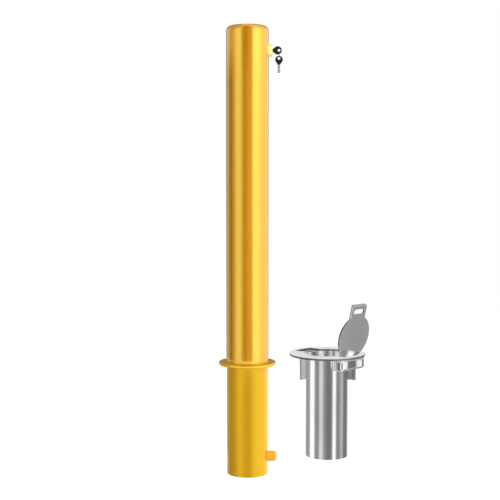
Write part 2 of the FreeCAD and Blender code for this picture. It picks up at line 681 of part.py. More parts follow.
def hinge_arm(side):
    """Arm under one hinge tongue, with the eye that turns on the hinge pin."""
    low = side * TONGUE_SPREAD - ARM_THICKNESS / 2
    plate_foot = FLANGE_TOP - LID_THICKNESS
    points = [
        vec(ARM_REACH, low, plate_foot),
        vec(PIN_REACH, low, plate_foot),
        vec(PIN_REACH, low, PIN_HEIGHT - ARM_EYE_RADIUS),
        vec(ARM_REACH, low, PIN_HEIGHT),
    ]
    push = Y_AXIS * ARM_THICKNESS
    centre = vec(PIN_REACH, low, PIN_HEIGHT)
    arm = polygon_face(points).extrude(push).fuse(rod(ARM_EYE_RADIUS, centre, centre + push))
    bore = rod(HINGE_PIN_RADIUS + HINGE_PIN_CLEARANCE, centre, centre + push)
    return open_lid(arm.removeSplitter().cut(bore))


def hinge_pin():
    """Pin through both lugs and both arms."""
    start = vec(PIN_REACH, -HINGE_PIN_HALF, PIN_HEIGHT)
    end = vec(PIN_REACH, HINGE_PIN_HALF, PIN_HEIGHT)
    return to_receiver(rod(HINGE_PIN_RADIUS, start, end))


def hinge_lug(side):
    """Lug that hangs from the flange and holds one end of the hinge pin."""
    low = side * LUG_SPREAD - LUG_THICKNESS / 2
    push = Y_AXIS * LUG_THICKNESS
    centre = vec(PIN_REACH, low, PIN_HEIGHT)
    spans = (PIN_REACH - LUG_HALF, PIN_REACH + LUG_HALF)
    lug = block(spans, (low, low + LUG_THICKNESS), (PIN_HEIGHT, FLANGE_FOOT))
    under_flange = block(spans, (low, low + LUG_THICKNESS), (PIN_HEIGHT - LUG_HALF, FLANGE_FOOT))
    lug = lug.fuse(rod(LUG_HALF, centre, centre + push)).common(under_flange).removeSplitter()
    return to_receiver(lug.cut(rod(HINGE_PIN_RADIUS, centre, centre + push)))


def well_prism(grow, z_low, z_high):
    """Rounded slot shape of the hinge well, grown by a margin."""
    reach = (WELL_LENGTH - WELL_WIDTH) / 2
    radius = WELL_WIDTH / 2 + grow
    push = Z_AXIS * (z_high - z_low)
    return capsule(vec(WELL_REACH, -reach, z_low), vec(WELL_REACH, reach, z_low), radius, push)


def hinge_well():
    """Pressed cup under the flange that keeps concrete out of the hinge."""
    floor = FLANGE_FOOT - WELL_DEPTH
    cup = well_prism(0, floor, FLANGE_FOOT)
    bottom = [e for e in cup.Edges if abs(e.CenterOfMass.z - floor) < 0.01]
    cup = cup.makeFillet(WELL_CORNER, bottom)
    hollow = well_prism(-WELL_SHEET, floor + WELL_SHEET, FLANGE_FOOT)
    bottom = [e for e in hollow.Edges if abs(e.CenterOfMass.z - floor - WELL_SHEET) < 0.01]
    hollow = hollow.makeFillet(WELL_CORNER - WELL_SHEET, bottom)
    tube = rod(RECEIVER_RADIUS + WELD_GAP, ORIGIN, vec(0, 0, FLANGE_TOP))
    return to_receiver(cup.cut(hollow).cut(tube))


def tray_prism(grow, z_low, z_high):
    """Shape of the tray under the lid's tab, grown by a margin."""
    reach = TAB_REACH + LID_GAP + TRAY_MARGIN + grow
    half = TAB_HALF + LID_GAP + TRAY_MARGIN + grow
    shape = block((-reach, 0), (-half, half), (z_low, z_high))
    rim = FLANGE_RADIUS - RIM_MARGIN - TRAY_SHEET + grow
    return shape.common(rod(rim, vec(0, 0, z_low), vec(0, 0, z_high)))


def tab_tray():
    """Shallow tray that closes the flange's recess under the lid's tab."""
    floor = FLANGE_FOOT - TRAY_DEPTH
    tray = tray_prism(TRAY_SHEET, floor, FLANGE_FOOT)
    hollow = tray_prism(0, floor + TRAY_SHEET, FLANGE_FOOT)
    tube = rod(RECEIVER_RADIUS + WELD_GAP, ORIGIN, vec(0, 0, FLANGE_TOP))
    return to_receiver(tray.cut(hollow).cut(tube))


def receiver_flange():
    """Round cover flange with the lid's recess, the post's way in and the slots for the hinge arms."""
    plate = rod(FLANGE_RADIUS, vec(0, 0, FLANGE_FOOT), vec(0, 0, FLANGE_TOP))
    plate = plate.makeFillet(FLANGE_EDGE, edges_at_radius(plate, FLANGE_RADIUS))
    slot_end = HINGE_POINT_REACH + PIN_DROP * 1.05
    recess = lid_outline(LID_GAP, FLANGE_FOOT, FLANGE_THICKNESS, TONGUE_GAP, slot_end)
    rim_pocket = rod(RECEIVER_RADIUS + WELD_GAP, vec(0, 0, FLANGE_FOOT), vec(0, 0, RIM_TOP + WELD_GAP))
    way_in = rod(RECEIVER_BORE + FLANGE_CLEARANCE, vec(0, 0, FLANGE_FOOT), vec(0, 0, FLANGE_TOP))
    return to_receiver(plate.cut(recess).cut(rim_pocket).cut(way_in))


def seat_ring():
    """Ring that ties the flange to the tube, open at the hinge well and at the tray."""
    low = FLANGE_FOOT - SEAT_RING_THICKNESS
    outer = RECEIVER_RADIUS + SEAT_RING_WIDTH
    body = ring(outer, RECEIVER_RADIUS + WELD_GAP, (low, FLANGE_FOOT))
    body = body.cut(well_prism(WELD_GAP, low, FLANGE_FOOT))
    return to_receiver(body.cut(tray_prism(TRAY_SHEET + WELD_GAP, low, FLANGE_FOOT)))


def keeper_window(grow, depth):
    """Square prism behind the tube where the bolt enters."""
    half = BOLT_RADIUS + KEEPER_CLEARANCE + grow
    reach = RECEIVER_RADIUS + depth
    return block((-half, half), (0, reach), (BOLT_HEIGHT - half, BOLT_HEIGHT + half))


def receiver_tube():
    """Round sleeve for the post, open at its foot, with the bolt's window at the back."""
    tube = ring(RECEIVER_RADIUS, RECEIVER_BORE, (0, RIM_TOP))
    return to_receiver(tube.cut(keeper_window(0, 1)), 0)


def keeper_box():
    """Box round the bolt's window that keeps concrete out."""
    outer = keeper_window(KEEPER_MARGIN, KEEPER_DEPTH + KEEPER_SHEET)
    inner = keeper_window(KEEPER_MARGIN - KEEPER_SHEET, KEEPER_DEPTH)
    tube = rod(RECEIVER_RADIUS + WELD_GAP, ORIGIN, vec(0, 0, FLANGE_TOP))
    return to_receiver(outer.cut(inner).cut(tube), 0)


def anchor(angle):
    """Sheet anchor on the tube: a web with an outer leg folded towards the front."""
    inner = RECEIVER_RADIUS + WELD_GAP
    bend = inner + ANCHOR_WEB
    side = 1 if angle == 0 else -1
    run = ANCHOR_LEG * math.cos(math.radians(ANCHOR_FOLD))
    rise = ANCHOR_LEG * math.sin(math.radians(ANCHOR_FOLD))
    skin_run = ANCHOR_SHEET * math.sin(math.radians(ANCHOR_FOLD))
    skin_rise = ANCHOR_SHEET * math.cos(math.radians(ANCHOR_FOLD))
    outline = [
        (RECEIVER_BORE, 0),
        (bend, 0),
        (bend + run, -rise),
        (bend + run + skin_run, -rise + skin_rise),
        (bend + skin_run / 2, ANCHOR_SHEET),
        (RECEIVER_BORE, ANCHOR_SHEET),
    ]
    low = FLANGE_FOOT - ANCHOR_HEIGHT
    face = polygon_face([vec(side * x, y, low) for x, y in outline])
    plate = face.extrude(Z_AXIS * ANCHOR_HEIGHT)
    plate = plate.cut(rod(inner, ORIGIN, vec(0, 0, FLANGE_TOP)))
    top = FLANGE_FOOT - SEAT_RING_THICKNESS
    outer = RECEIVER_RADIUS + SEAT_RING_WIDTH + WELD_GAP
    plate = plate.cut(rod(outer, vec(0, 0, top), vec(0, 0, FLANGE_TOP)))
    well = well_prism(SEAT_GAP, FLANGE_FOOT - WELL_DEPTH - SEAT_GAP, FLANGE_FOOT)
    return to_receiver(plate, 0).cut(to_receiver(well))


def save(name, shape):
    if not shape.isValid():
        raise RuntimeError("shape is not valid: " + name)
    shape.exportStep(os.path.join("parts", name + ".step"))
    print(name, len(shape.Solids), round(shape.Volume / 1000, 2), "cm3")


def main():
    os.makedirs("parts", exist_ok=True)
    save("post_tube", post_tube())
    save("foot_tube", foot_tube())
    save("top_cap", top_cap())
    save("collar_plate", collar_plate())
    save("end_plate", end_plate())
    save("lock_boss", lock_boss())
    save("lock_housing", lock_housing())
    save("lock_nut", lock_nut())
    save("lock_plug", lock_plug())
    save("lock_cam", lock_cam())
    save("crank_pin", crank_pin())
    save("cam_screw", cam_screw())
    key_bow, key_blade = key_in_lock()
    save("key_bow", key_bow)
    save("key_blade", key_blade)
    save("key_ring", key_ring())
    spare_bow, spare_blade = spare_key()
    save("spare_key_bow", spare_bow)
    save("spare_key_blade", spare_blade)
    save("lift_rod", lift_rod())
    save("yoke_plate", yoke_plate())
    save("wedge_plate", wedge_plate())
    save("rod_pins", rod_pins())
    save("rod_stop", rod_stop())
    save("stop_screw", stop_screw())
    save("rod_guide_lower", rod_guide(GUIDE_LOW, FOOT_BORE))
    save("rod_guide_middle", rod_guide(GUIDE_MIDDLE, POST_BORE))
    save("rod_guide_upper", rod_guide(GUIDE_HIGH, POST_BORE))
    save("lock_bolt", lock_bolt())
    save("bolt_pin", bolt_pin())
    save("bolt_bush", bolt_bush())
    save("receiver_tube", receiver_tube())
    save("receiver_flange", receiver_flange())
    save("seat_ring", seat_ring())
    save("hinge_well", hinge_well())
    save("tab_tray", tab_tray())
    save("keeper_box", keeper_box())
    save("anchor_left", anchor(180))
    save("anchor_right", anchor(0))
    save("hinge_lug_front", hinge_lug(-1))
    save("hinge_lug_rear", hinge_lug(1))
    save("hinge_pin", hinge_pin())
    save("hinge_arm_front", hinge_arm(-1))
    save("hinge_arm_rear", hinge_arm(1))
    save("lid_plate", lid_plate())


main()
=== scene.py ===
"""Finishes, welds, light and camera for a locking bollard and its ground receiver.

Lengths are in metres. X runs to the right, Y to the back and Z up, from the post's foot.
"""
import json
import math

import bpy
from mathutils import Matrix, Vector


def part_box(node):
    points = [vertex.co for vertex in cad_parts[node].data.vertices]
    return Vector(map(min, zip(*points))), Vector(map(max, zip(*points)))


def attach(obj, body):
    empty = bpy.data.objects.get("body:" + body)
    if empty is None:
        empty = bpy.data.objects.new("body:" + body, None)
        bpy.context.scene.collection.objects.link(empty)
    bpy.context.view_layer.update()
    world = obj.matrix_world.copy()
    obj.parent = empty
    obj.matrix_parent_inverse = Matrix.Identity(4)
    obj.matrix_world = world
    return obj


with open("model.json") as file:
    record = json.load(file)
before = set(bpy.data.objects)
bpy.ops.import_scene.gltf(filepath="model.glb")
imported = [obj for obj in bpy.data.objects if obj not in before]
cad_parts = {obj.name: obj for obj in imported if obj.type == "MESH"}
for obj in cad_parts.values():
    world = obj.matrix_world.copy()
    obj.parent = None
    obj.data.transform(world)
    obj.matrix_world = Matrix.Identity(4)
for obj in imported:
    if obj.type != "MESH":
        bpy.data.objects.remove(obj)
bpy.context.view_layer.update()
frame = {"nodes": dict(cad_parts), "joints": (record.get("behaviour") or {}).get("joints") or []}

bl_info = {
    "name": "Locking Bollard",
    "version": (1, 0, 0),
    "blender": (4, 5, 0),
    "location": "3D View > Sidebar > Bollard",
    "description": "Dresses a removable locking bollard and its ground receiver",
    "category": "Object",
}

ROOT_BODY = "post_and_receiver"

# Surface grain: its scales per metre along X, Y and Z, its depths in metres and the radii of soft edges
PAINT_TONE_GRAIN = (34, 34, 1.4)
PAINT_STREAK_GRAIN = (160, 160, 2.2)
PEEL_GRAIN = (620, 620, 620)
PEEL_DEPTH = 0.0006
PAINT_EDGE = 0.0006
COAT_IOR = 1.6
COAT_ROUGHNESS = 0.08
METAL_TONE_GRAIN = (18, 18, 7)
METAL_GRAIN_DEPTH = 0.0002
METAL_EDGE = 0.0005
METAL_SPREAD = 0.05
METAL_DARKER = 0.9
SMALL_EDGE = 0.0003
EDGE_SAMPLES = 4
PLASTIC_GRAIN = (900, 900, 900)
PLASTIC_BUMP = 0.08
PLASTIC_EDGE = 0.0004
PLASTIC_LIGHTER = 0.006
PLASTIC_ROUGHNESS = (0.4, 0.5)
PLASTIC_SHINE = 0.15

# Each metal finish: its roughness, its grain scales and the strength of its bump
CHROME_FINISH = (0.12, (300, 300, 300), 0.02)
BLADE_FINISH = (0.35, (900, 900, 200), 0.05)
WIRE_FINISH = (0.35, (900, 900, 900), 0.05)
ZINC_FINISH = (0.36, (200, 200, 60), 0.05)
MILL_FINISH = (0.48, (60, 60, 60), 0.10)
SLEEVE_FINISH = (0.17, (420, 420, 5), 0.05)
PLATE_FINISH = (0.3, (260, 260, 260), 0.05)
ANCHOR_FINISH = (0.5, (260, 260, 260), 0.05)
TRAY_FINISH = (0.6, (260, 260, 260), 0.05)
WELL_FINISH = (0.12, (300, 300, 20), 0.03)
WELD_FINISH = (0.34, (500, 500, 500), 0.10)
LID_FINISH = (0.14, (150, 150, 150), 0.03)

# Weld beads: points to each ripple, their girth at its neck, and where the anchors' seams start and end
POINTS_PER_RIPPLE = 3
FEWEST_RING_POINTS = 8
RIPPLE_NECK = 0.8
BEAD_SIDES = 3
SEAM_INSET = 0.0005
SEAM_FOOT = 0.004
SEAM_SHORTER = 0.012
# Each weld between the sleeve and the flange: its name, its start angle and its turn in degrees
SLEEVE_WELDS = (("sleeve_weld_back", 10, 95), ("sleeve_weld_front", 190, 70))

PAINTED_NODES = ("post_tube", "top_cap")
PLAIN_STEEL_NODES = (
    "end_plate", "rod_guide_lower", "rod_guide_middle", "rod_guide_upper", "bolt_bush",
)
ZINC_NODES = (
    "lock_nut", "lock_cam", "crank_pin", "cam_screw", "lift_rod", "yoke_plate", "wedge_plate",
    "rod_pins", "rod_stop", "stop_screw", "bolt_pin",
)
SLEEVE_NODES = ("receiver_tube", "keeper_box", "seat_ring")
HINGE_NODES = ("hinge_lug_front", "hinge_lug_rear", "hinge_pin", "hinge_arm_front", "hinge_arm_rear")
UNREFLECTED_NODES = (
    "post_tube", "foot_tube", "top_cap", "key_bow", "spare_key_bow", "spare_key_blade", "receiver_tube",
    "receiver_flange", "hinge_well", "lid_plate",
)

# Each light panel that reflections see: its start angle in degrees, from the front round to the right, its
# level, and its green and blue as a share of its red. The last one of each set only gives the end.
POST_PANELS = (
    (-129, 0.42, 1.1), (-98, 0.2, 0.9), (-87, 0.07, 0.7), (-73, 0.28, 0.9), (-63, 0.5, 1.1),
    (-53, 0.78, 1.32), (-30, 0.64, 1.25), (-24, 0.35, 0.8), (-16, 0.2, 0.5), (-5, 0.36, 0.5),
    (5, 0.52, 0.6), (19, 0.8, 1.1), (25, 1.4, 1.2), (52, 1.25, 1.15), (66, 1.08, 1.05), (92, 0.95, 1.05),
    (129, 0.22, 1.0), (231, 0, 0),
)
POST_TOP_PANELS = (
    (-129, 0.6, 1.15), (-98, 0.62, 0.95), (-87, 0.5, 0.8), (-73, 0.52, 0.9), (-63, 0.6, 1.15),
    (-53, 0.84, 1.36), (-30, 0.68, 1.3), (-24, 0.28, 0.6), (-16, 0.11, 0.3), (-5, 0.22, 0.35),
    (5, 0.44, 0.55), (19, 0.8, 1.1), (25, 1.45, 1.25), (52, 1.3, 1.2), (66, 1.08, 1.05), (92, 0.95, 1.05),
    (129, 0.22, 1.0), (231, 0, 0),
)
COLLAR_PANELS = (
    (-156, 0.55, 1.1), (-110, 0.6, 1.1), (-60, 0.95, 1.2), (-25, 1.6, 1.35), (30, 1.3, 1.25),
    (60, 1.0, 1.15), (110, 0.7, 1.1), (204, 0, 0),
)
FOOT_PANELS = (
    (-156, 0.45, 1), (-105, 0.2, 0.95), (-72, 0.29, 1.15), (-54, 0.5, 1.25), (-40, 0.63, 1.25),
    (-25, 0.45, 1.1), (-14, 0.39, 0.85), (14, 0.5, 1.1), (22, 0.66, 1.15), (35, 0.8, 1.27),
    (55, 0.9, 1.22), (85, 1.02, 1.22), (135, 0.35, 1.2), (204, 0, 0),
)
SLEEVE_PANELS = (
    (-156, 0.47, 1), (-93, 1.0, 1), (-88, 1.6, 1), (-64, 0.85, 1), (-58, 0.38, 1), (-43, 0.55, 1),
    (-37, 1.05, 1), (-23, 0.72, 1), (-18, 0.42, 1), (-10, 0.32, 1), (-3, 0.25, 1), (13, 0.33, 1),
    (18, 0.62, 1), (22, 1.6, 1), (35, 0.66, 1), (40, 0.36, 1), (54, 0.5, 1), (59, 0.62, 1),
    (64, 0.78, 1), (72, 0.55, 1), (79, 0.26, 1), (116, 1.0, 1), (152, 0.6, 1), (204, 0, 0),
)
WELL_PANELS = (
    *SLEEVE_PANELS[:11],
    (13, 1.5, 1), (18, 0.5, 1), (28, 1.5, 1), (56, 0.26, 1), (68, 1.45, 1), (75, 0.22, 1),
    *SLEEVE_PANELS[-3:],
)
STUDIO_PANELS = (
    (-150, 0.5, 1), (-70, 0.9, 1), (-30, 0.3, 1), (20, 1.2, 1), (74, 0.8, 1), (116, 0.5, 1), (152, 0, 0),
)
# Heights from which the post's panels pass over into those of its top, each with the top's share
TOP_BLENDS = ((1.08, 0.2), (1.1, 0.4), (1.12, 0.6), (1.14, 0.8), (1.16, 1.0))
POST_PANEL_RADIUS = 0.14
CROWN_PANEL_FOOT = 1.235
CROWN_SHARE = 0.62
POST_PANEL_TOP = 1.7
COLLAR_PANEL_DEPTH = 0.017
WELL_PANEL_DEPTH = 0.012
WELL_PANEL_DROP = 0.016
SLEEVE_PANEL_RADIUS = 0.15
NEAR_PANEL_FOOT = -0.06
PANEL_FACET = 6
FEWEST_FACETS = 2
STUDIO_RADIUS = 3.6
STUDIO_FOOT = -0.35
STUDIO_TOP = 3.4
LID_PANEL_TURN = (74, 116)
LID_PANEL_LEVEL = 0.38
LID_PANEL_FOOT = -3.7

WORLD_LEVEL = 0.55
FLOOR_TONE = 0.86
FLOOR_GLOW = 1.1
FLOOR_GLOW_SHARE = 0.86
# Each lamp: its name, place, the point it looks at, its width and height in metres, and its watts
LAMPS = (
    ("key", (1.9, -2.2, 1.9), (0.05, 0, 0.6), (1.0, 2.2), 62),
    ("fill", (-2.3, -1.5, 1.6), (0, 0, 0.6), (1.0, 2.2), 22),
    ("top", (0.2, 0.2, 3.6), (0.1, 0, 0), (2.4, 2.4), 40),
)
SENSOR_WIDTH = 36.0

# Places and sizes of the CAD nodes that the welds and the panels go by
post_low, post_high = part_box("post_tube")
POST_RADIUS = (post_high.y - post_low.y) / 2
collar_low, collar_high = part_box("collar_plate")
foot_low, foot_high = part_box("foot_tube")
FOOT_RADIUS = (foot_high.y - foot_low.y) / 2
flange_low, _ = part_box("receiver_flange")
well_low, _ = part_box("hinge_well")
sleeve_low, sleeve_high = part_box("receiver_tube")
SLEEVE_RADIUS = (sleeve_high.x - sleeve_low.x) / 2
SLEEVE_CENTRE = (sleeve_low + sleeve_high) / 2


class BollardPaint(bpy.types.PropertyGroup):
    """Colours and gloss of the painted post; the boss tone is a painted highlight."""
    yellow: bpy.props.FloatVectorProperty(
        name="Yellow", description="Powder coat of the post",
        subtype="COLOR", size=3, min=0, max=1, default=(0.93, 0.49, 0.007))
    amber: bpy.props.FloatVectorProperty(
        name="Amber", description="Deeper tone where the coat is thick",
        subtype="COLOR", size=3, min=0, max=1, default=(0.88, 0.44, 0.005))
    bolt: bpy.props.FloatVectorProperty(
        name="Bolt", description="Paint of the locking bolt",
        subtype="COLOR", size=3, min=0, max=1, default=(0.95, 0.40, 0.008))
    # Boss: the yellow lightened towards white, a painted highlight on the lock boss
    boss: bpy.props.FloatVectorProperty(
        name="Boss", description="Paler coat on the lock boss",
        subtype="COLOR", size=3, min=0, max=1, default=(0.98, 0.80, 0.26))
    roughness: bpy.props.FloatProperty(
        name="Gloss", description="Roughness of the glossy coat", min=0, max=1, default=0.17)
    satin: bpy.props.FloatProperty(
        name="Satin", description="Roughness of the duller coat on the foot and collar",
        min=0, max=1, default=0.32)
    peel: bpy.props.FloatProperty(
        name="Orange peel", description="Depth of the coat's fine waves", min=0, max=1, default=0.06)


class BollardSteel(bpy.types.PropertyGroup):
    """Tones of the bare metal and the plastic, with painted light and painted shade in the anchor and
    cut-edge tones.
    """
    sleeve: bpy.props.FloatVectorProperty(
        name="Sleeve", description="Polished stainless of the sleeve",
        subtype="COLOR", size=3, min=0, max=1, default=(0.66, 0.66, 0.655))
    plate: bpy.props.FloatVectorProperty(
        name="Plate", description="Satin stainless of the flange",
        subtype="COLOR", size=3, min=0, max=1, default=(0.72, 0.72, 0.71))
    lid: bpy.props.FloatVectorProperty(
        name="Lid", description="Matt stainless of the lid",
        subtype="COLOR", size=3, min=0, max=1, default=(0.85, 0.85, 0.845))
    # Both anchors are the same stainless: the left tone is lightened as painted light, the right tone
    # darkened as painted shade
    left_anchor_painted_light: bpy.props.FloatVectorProperty(
        name="Left anchor", description="Lighter satin stainless of the left anchor",
        subtype="COLOR", size=3, min=0, max=1, default=(0.85, 0.85, 0.84))
    right_anchor_painted_shade: bpy.props.FloatVectorProperty(
        name="Right anchor", description="Duller satin stainless of the right anchor",
        subtype="COLOR", size=3, min=0, max=1, default=(0.36, 0.36, 0.355))
    weld: bpy.props.FloatVectorProperty(
        name="Weld", description="Weld metal of the receiver",
        subtype="COLOR", size=3, min=0, max=1, default=(0.52, 0.50, 0.47))
    # Cut edge: a painted shade that darkens the plates' cut edges
    cut_edge_painted_shade: bpy.props.FloatVectorProperty(
        name="Cut edge", description="Darker tone of the plates' cut edges",
        subtype="COLOR", size=3, min=0, max=1, default=(0.20, 0.20, 0.20))
    zinc: bpy.props.FloatVectorProperty(
        name="Zinc", description="Plated working parts",
        subtype="COLOR", size=3, min=0, max=1, default=(0.58, 0.59, 0.60))
    mill: bpy.props.FloatVectorProperty(
        name="Mill steel", description="Plain steel inside the post",
        subtype="COLOR", size=3, min=0, max=1, default=(0.30, 0.30, 0.31))
    chrome: bpy.props.FloatVectorProperty(
        name="Chrome", description="Plating of the lock",
        subtype="COLOR", size=3, min=0, max=1, default=(0.78, 0.78, 0.79))
    nickel: bpy.props.FloatVectorProperty(
        name="Key blade", description="Plating of the key blades",
        subtype="COLOR", size=3, min=0, max=1, default=(0.27, 0.27, 0.265))
    key_ring: bpy.props.FloatVectorProperty(
        name="Key ring", description="Dull wire of the key ring",
        subtype="COLOR", size=3, min=0, max=1, default=(0.12, 0.12, 0.12))
    plastic: bpy.props.FloatVectorProperty(
        name="Key head", description="Moulded plastic of the key heads",
        subtype="COLOR", size=3, min=0, max=1, default=(0.004, 0.004, 0.004))


class BollardWelds(bpy.types.PropertyGroup):
    """Sizes of the weld beads."""
    bead: bpy.props.FloatProperty(
        name="Bead", description="Radius of a weld bead", unit="LENGTH", min=0, default=0.0016)
    ripple: bpy.props.FloatProperty(
        name="Ripple", description="Length of one ripple of a bead", unit="LENGTH",
        min=0.0005, default=0.0028)


class BollardStage(bpy.types.PropertyGroup):
    """Camera, floor and lights."""
    camera_distance: bpy.props.FloatProperty(
        name="Distance", description="Camera in front of the post", unit="LENGTH", default=2.96)
    camera_height: bpy.props.FloatProperty(
        name="Height", description="Camera above the floor", unit="LENGTH", default=0.82)
    camera_shift: bpy.props.FloatProperty(
        name="Sideways", description="Camera to the right of the post", unit="LENGTH", default=0.0072)
    pitch: bpy.props.FloatProperty(
        name="Pitch", description="Angle that the camera looks down",
        subtype="ANGLE", default=math.radians(4.02))
    lens: bpy.props.FloatProperty(
        name="Lens", description="Focal length on a 36 mm sensor, in millimetres", default=78.9)
    floor_half: bpy.props.FloatProperty(
        name="Floor", description="Half of the floor's side", unit="LENGTH", default=12.0)


def settings(name):
    """Property group of the scene by its name."""
    return getattr(bpy.context.scene, name)


def new_material(name):
    """Material with an empty Principled shader and its object coordinates."""
    material = bpy.data.materials.new(name)
    material.use_nodes = True
    nodes = material.node_tree.nodes
    shader = nodes["Principled BSDF"]
    coords = nodes.new("ShaderNodeTexCoord")
    return material, shader, coords


def stretched_noise(material, coords, scale, detail=4.0, roughness=0.5):
    """Noise over object coordinates, with its own scale along each axis."""
    nodes = material.node_tree.nodes
    links = material.node_tree.links
    mapping = nodes.new("ShaderNodeMapping")
    mapping.inputs["Scale"].default_value = scale
    noise = nodes.new("ShaderNodeTexNoise")
    noise.inputs["Scale"].default_value = 1.0
    noise.inputs["Detail"].default_value = detail
    noise.inputs["Roughness"].default_value = roughness
    links.new(coords.outputs["Object"], mapping.inputs["Vector"])
    links.new(mapping.outputs["Vector"], noise.inputs["Vector"])
    return noise.outputs["Fac"]


def ramp(material, source, low, high, start=0.35, end=0.65):
    """Maps a noise onto a range of values."""
    node = material.node_tree.nodes.new("ShaderNodeMapRange")
    node.inputs["From Min"].default_value = start
    node.inputs["From Max"].default_value = end
    node.inputs["To Min"].default_value = low
    node.inputs["To Max"].default_value = high
    material.node_tree.links.new(source, node.inputs["Value"])
    return node.outputs["Result"]


def mix_colours(material, source, first, second):
    """Colour between two tones, driven by a noise."""
    node = material.node_tree.nodes.new("ShaderNodeMix")
    node.data_type = "RGBA"
    node.inputs["A"].default_value = (*first, 1)
    node.inputs["B"].default_value = (*second, 1)
    material.node_tree.links.new(ramp(material, source, 0, 1), node.inputs["Factor"])
    return node.outputs["Result"]


def add_bump(material, shader, source, strength, distance, edge):
    """Bump on the shader, over edges rounded by a radius."""
    nodes = material.node_tree.nodes
    links = material.node_tree.links
    bump = nodes.new("ShaderNodeBump")
    bump.inputs["Strength"].default_value = strength
    bump.inputs["Distance"].default_value = distance
    links.new(source, bump.inputs["Height"])
    bevel = nodes.new("ShaderNodeBevel")
    bevel.samples = EDGE_SAMPLES
    bevel.inputs["Radius"].default_value = edge
    links.new(bevel.outputs["Normal"], bump.inputs["Normal"])
    links.new(bump.outputs["Normal"], shader.inputs["Normal"])


def paint_material(name, colour, deep, roughness, peel, metallic=0.65, coat=1.0, spread=0.05):
    """Powder coat over steel: fine orange peel, faint streaks along the tube."""
    material, shader, coords = new_material(name)
    links = material.node_tree.links
    tone = stretched_noise(material, coords, PAINT_TONE_GRAIN, detail=3)
    links.new(mix_colours(material, tone, colour, deep), shader.inputs["Base Color"])
    streaks = stretched_noise(material, coords, PAINT_STREAK_GRAIN, detail=5)
    links.new(ramp(material, streaks, roughness - spread, roughness + spread), shader.inputs["Roughness"])
    shader.inputs["Metallic"].default_value = metallic
    shader.inputs["Coat Weight"].default_value = coat
    shader.inputs["Coat IOR"].default_value = COAT_IOR
    shader.inputs["Coat Roughness"].default_value = COAT_ROUGHNESS
    waves = stretched_noise(material, coords, PEEL_GRAIN, detail=2)
    add_bump(material, shader, waves, peel, PEEL_DEPTH, edge=PAINT_EDGE)
    return material


def painted_edge_shade_share(material, coords, face_normal):
    """Share of the painted shade: one on a plate's cut edges and zero on its faces, whose direction is
    given at rest.
    """
    nodes = material.node_tree.nodes
    links = material.node_tree.links
    along = nodes.new("ShaderNodeVectorMath")
    along.operation = "DOT_PRODUCT"
    along.inputs[1].default_value = face_normal
    links.new(coords.outputs["Normal"], along.inputs[0])
    size = nodes.new("ShaderNodeMath")
    size.operation = "ABSOLUTE"
    links.new(along.outputs["Value"], size.inputs[0])
    return ramp(material, size.outputs[0], 1, 0, start=0.45, end=0.75)


def metal_material(name, colour, roughness, grain, bump, edge=METAL_EDGE, face_normal=None, metallic=1.0):
    """Bare metal with grain lines, and painted shade darkening its cut edges where the direction of its
    faces is given.
    """
    material, shader, coords = new_material(name)
    nodes = material.node_tree.nodes
    links = material.node_tree.links
    tone = stretched_noise(material, coords, METAL_TONE_GRAIN, detail=4)
    darker = [channel * METAL_DARKER for channel in colour]
    surface = mix_colours(material, tone, colour, darker)
    if face_normal is not None:
        # Painted shade: the cut edges are mixed over to the dark cut-edge tone
        cut = nodes.new("ShaderNodeMix")
        cut.data_type = "RGBA"
        cut.inputs["B"].default_value = (*settings("bollard_steel").cut_edge_painted_shade, 1)
        links.new(painted_edge_shade_share(material, coords, face_normal), cut.inputs["Factor"])
        links.new(surface, cut.inputs["A"])
        surface = cut.outputs["Result"]
    links.new(surface, shader.inputs["Base Color"])
    lines = stretched_noise(material, coords, grain, detail=6, roughness=0.6)
    rough = ramp(material, lines, roughness - METAL_SPREAD, roughness + METAL_SPREAD)
    links.new(rough, shader.inputs["Roughness"])
    shader.inputs["Metallic"].default_value = metallic
    add_bump(material, shader, lines, bump, METAL_GRAIN_DEPTH, edge=edge)
    return material


def plastic_material(name, colour):
    """Moulded black plastic with a faint texture."""
    material, shader, coords = new_material(name)
    links = material.node_tree.links
    grain = stretched_noise(material, coords, PLASTIC_GRAIN, detail=2)
    lighter = [channel + PLASTIC_LIGHTER for channel in colour]
    links.new(mix_colours(material, grain, colour, lighter), shader.inputs["Base Color"])
    links.new(ramp(material, grain, *PLASTIC_ROUGHNESS), shader.inputs["Roughness"])
    shader.inputs["Specular IOR Level"].default_value = PLASTIC_SHINE
    add_bump(material, shader, grain, PLASTIC_BUMP, METAL_GRAIN_DEPTH, edge=PLASTIC_EDGE)
    return material


def dress(names, material):
    """Gives CAD nodes a material."""
    for name in names:
        node = frame["nodes"][name]
        node.data.materials.clear()
        node.data.materials.append(material)


def hide_from_reflections(names):
    """Keeps pieces out of each other's reflections, as in a picture put together from two."""
    for name in names:
        frame["nodes"][name].visible_glossy = False


def weld_bead(name, points, closed, material, body=ROOT_BODY):
    """Weld bead along a path: round, and narrower at the neck of each ripple."""
    welds = settings("bollard_welds")
    curve = bpy.data.curves.new(name, "CURVE")
    curve.dimensions = "3D"
    curve.bevel_depth = welds.bead
    curve.bevel_resolution = BEAD_SIDES
    spline = curve.splines.new("POLY")
    spline.points.add(len(points) - 1)
    for index, (point, place) in enumerate(zip(spline.points, points)):
        point.co = (*place, 1)
        point.radius = 1.0 if index % POINTS_PER_RIPPLE else RIPPLE_NECK
    spline.use_cyclic_u = closed
    curve.materials.append(material)
    piece = bpy.data.objects.new(name, curve)
    bpy.context.scene.collection.objects.link(piece)
    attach(piece, body)


def upright_points(foot, length):
    """Points up a straight seam."""
    step = settings("bollard_welds").ripple / POINTS_PER_RIPPLE
    count = round(length / step)
    return [(foot[0], foot[1], foot[2] + length * index / count) for index in range(count + 1)]


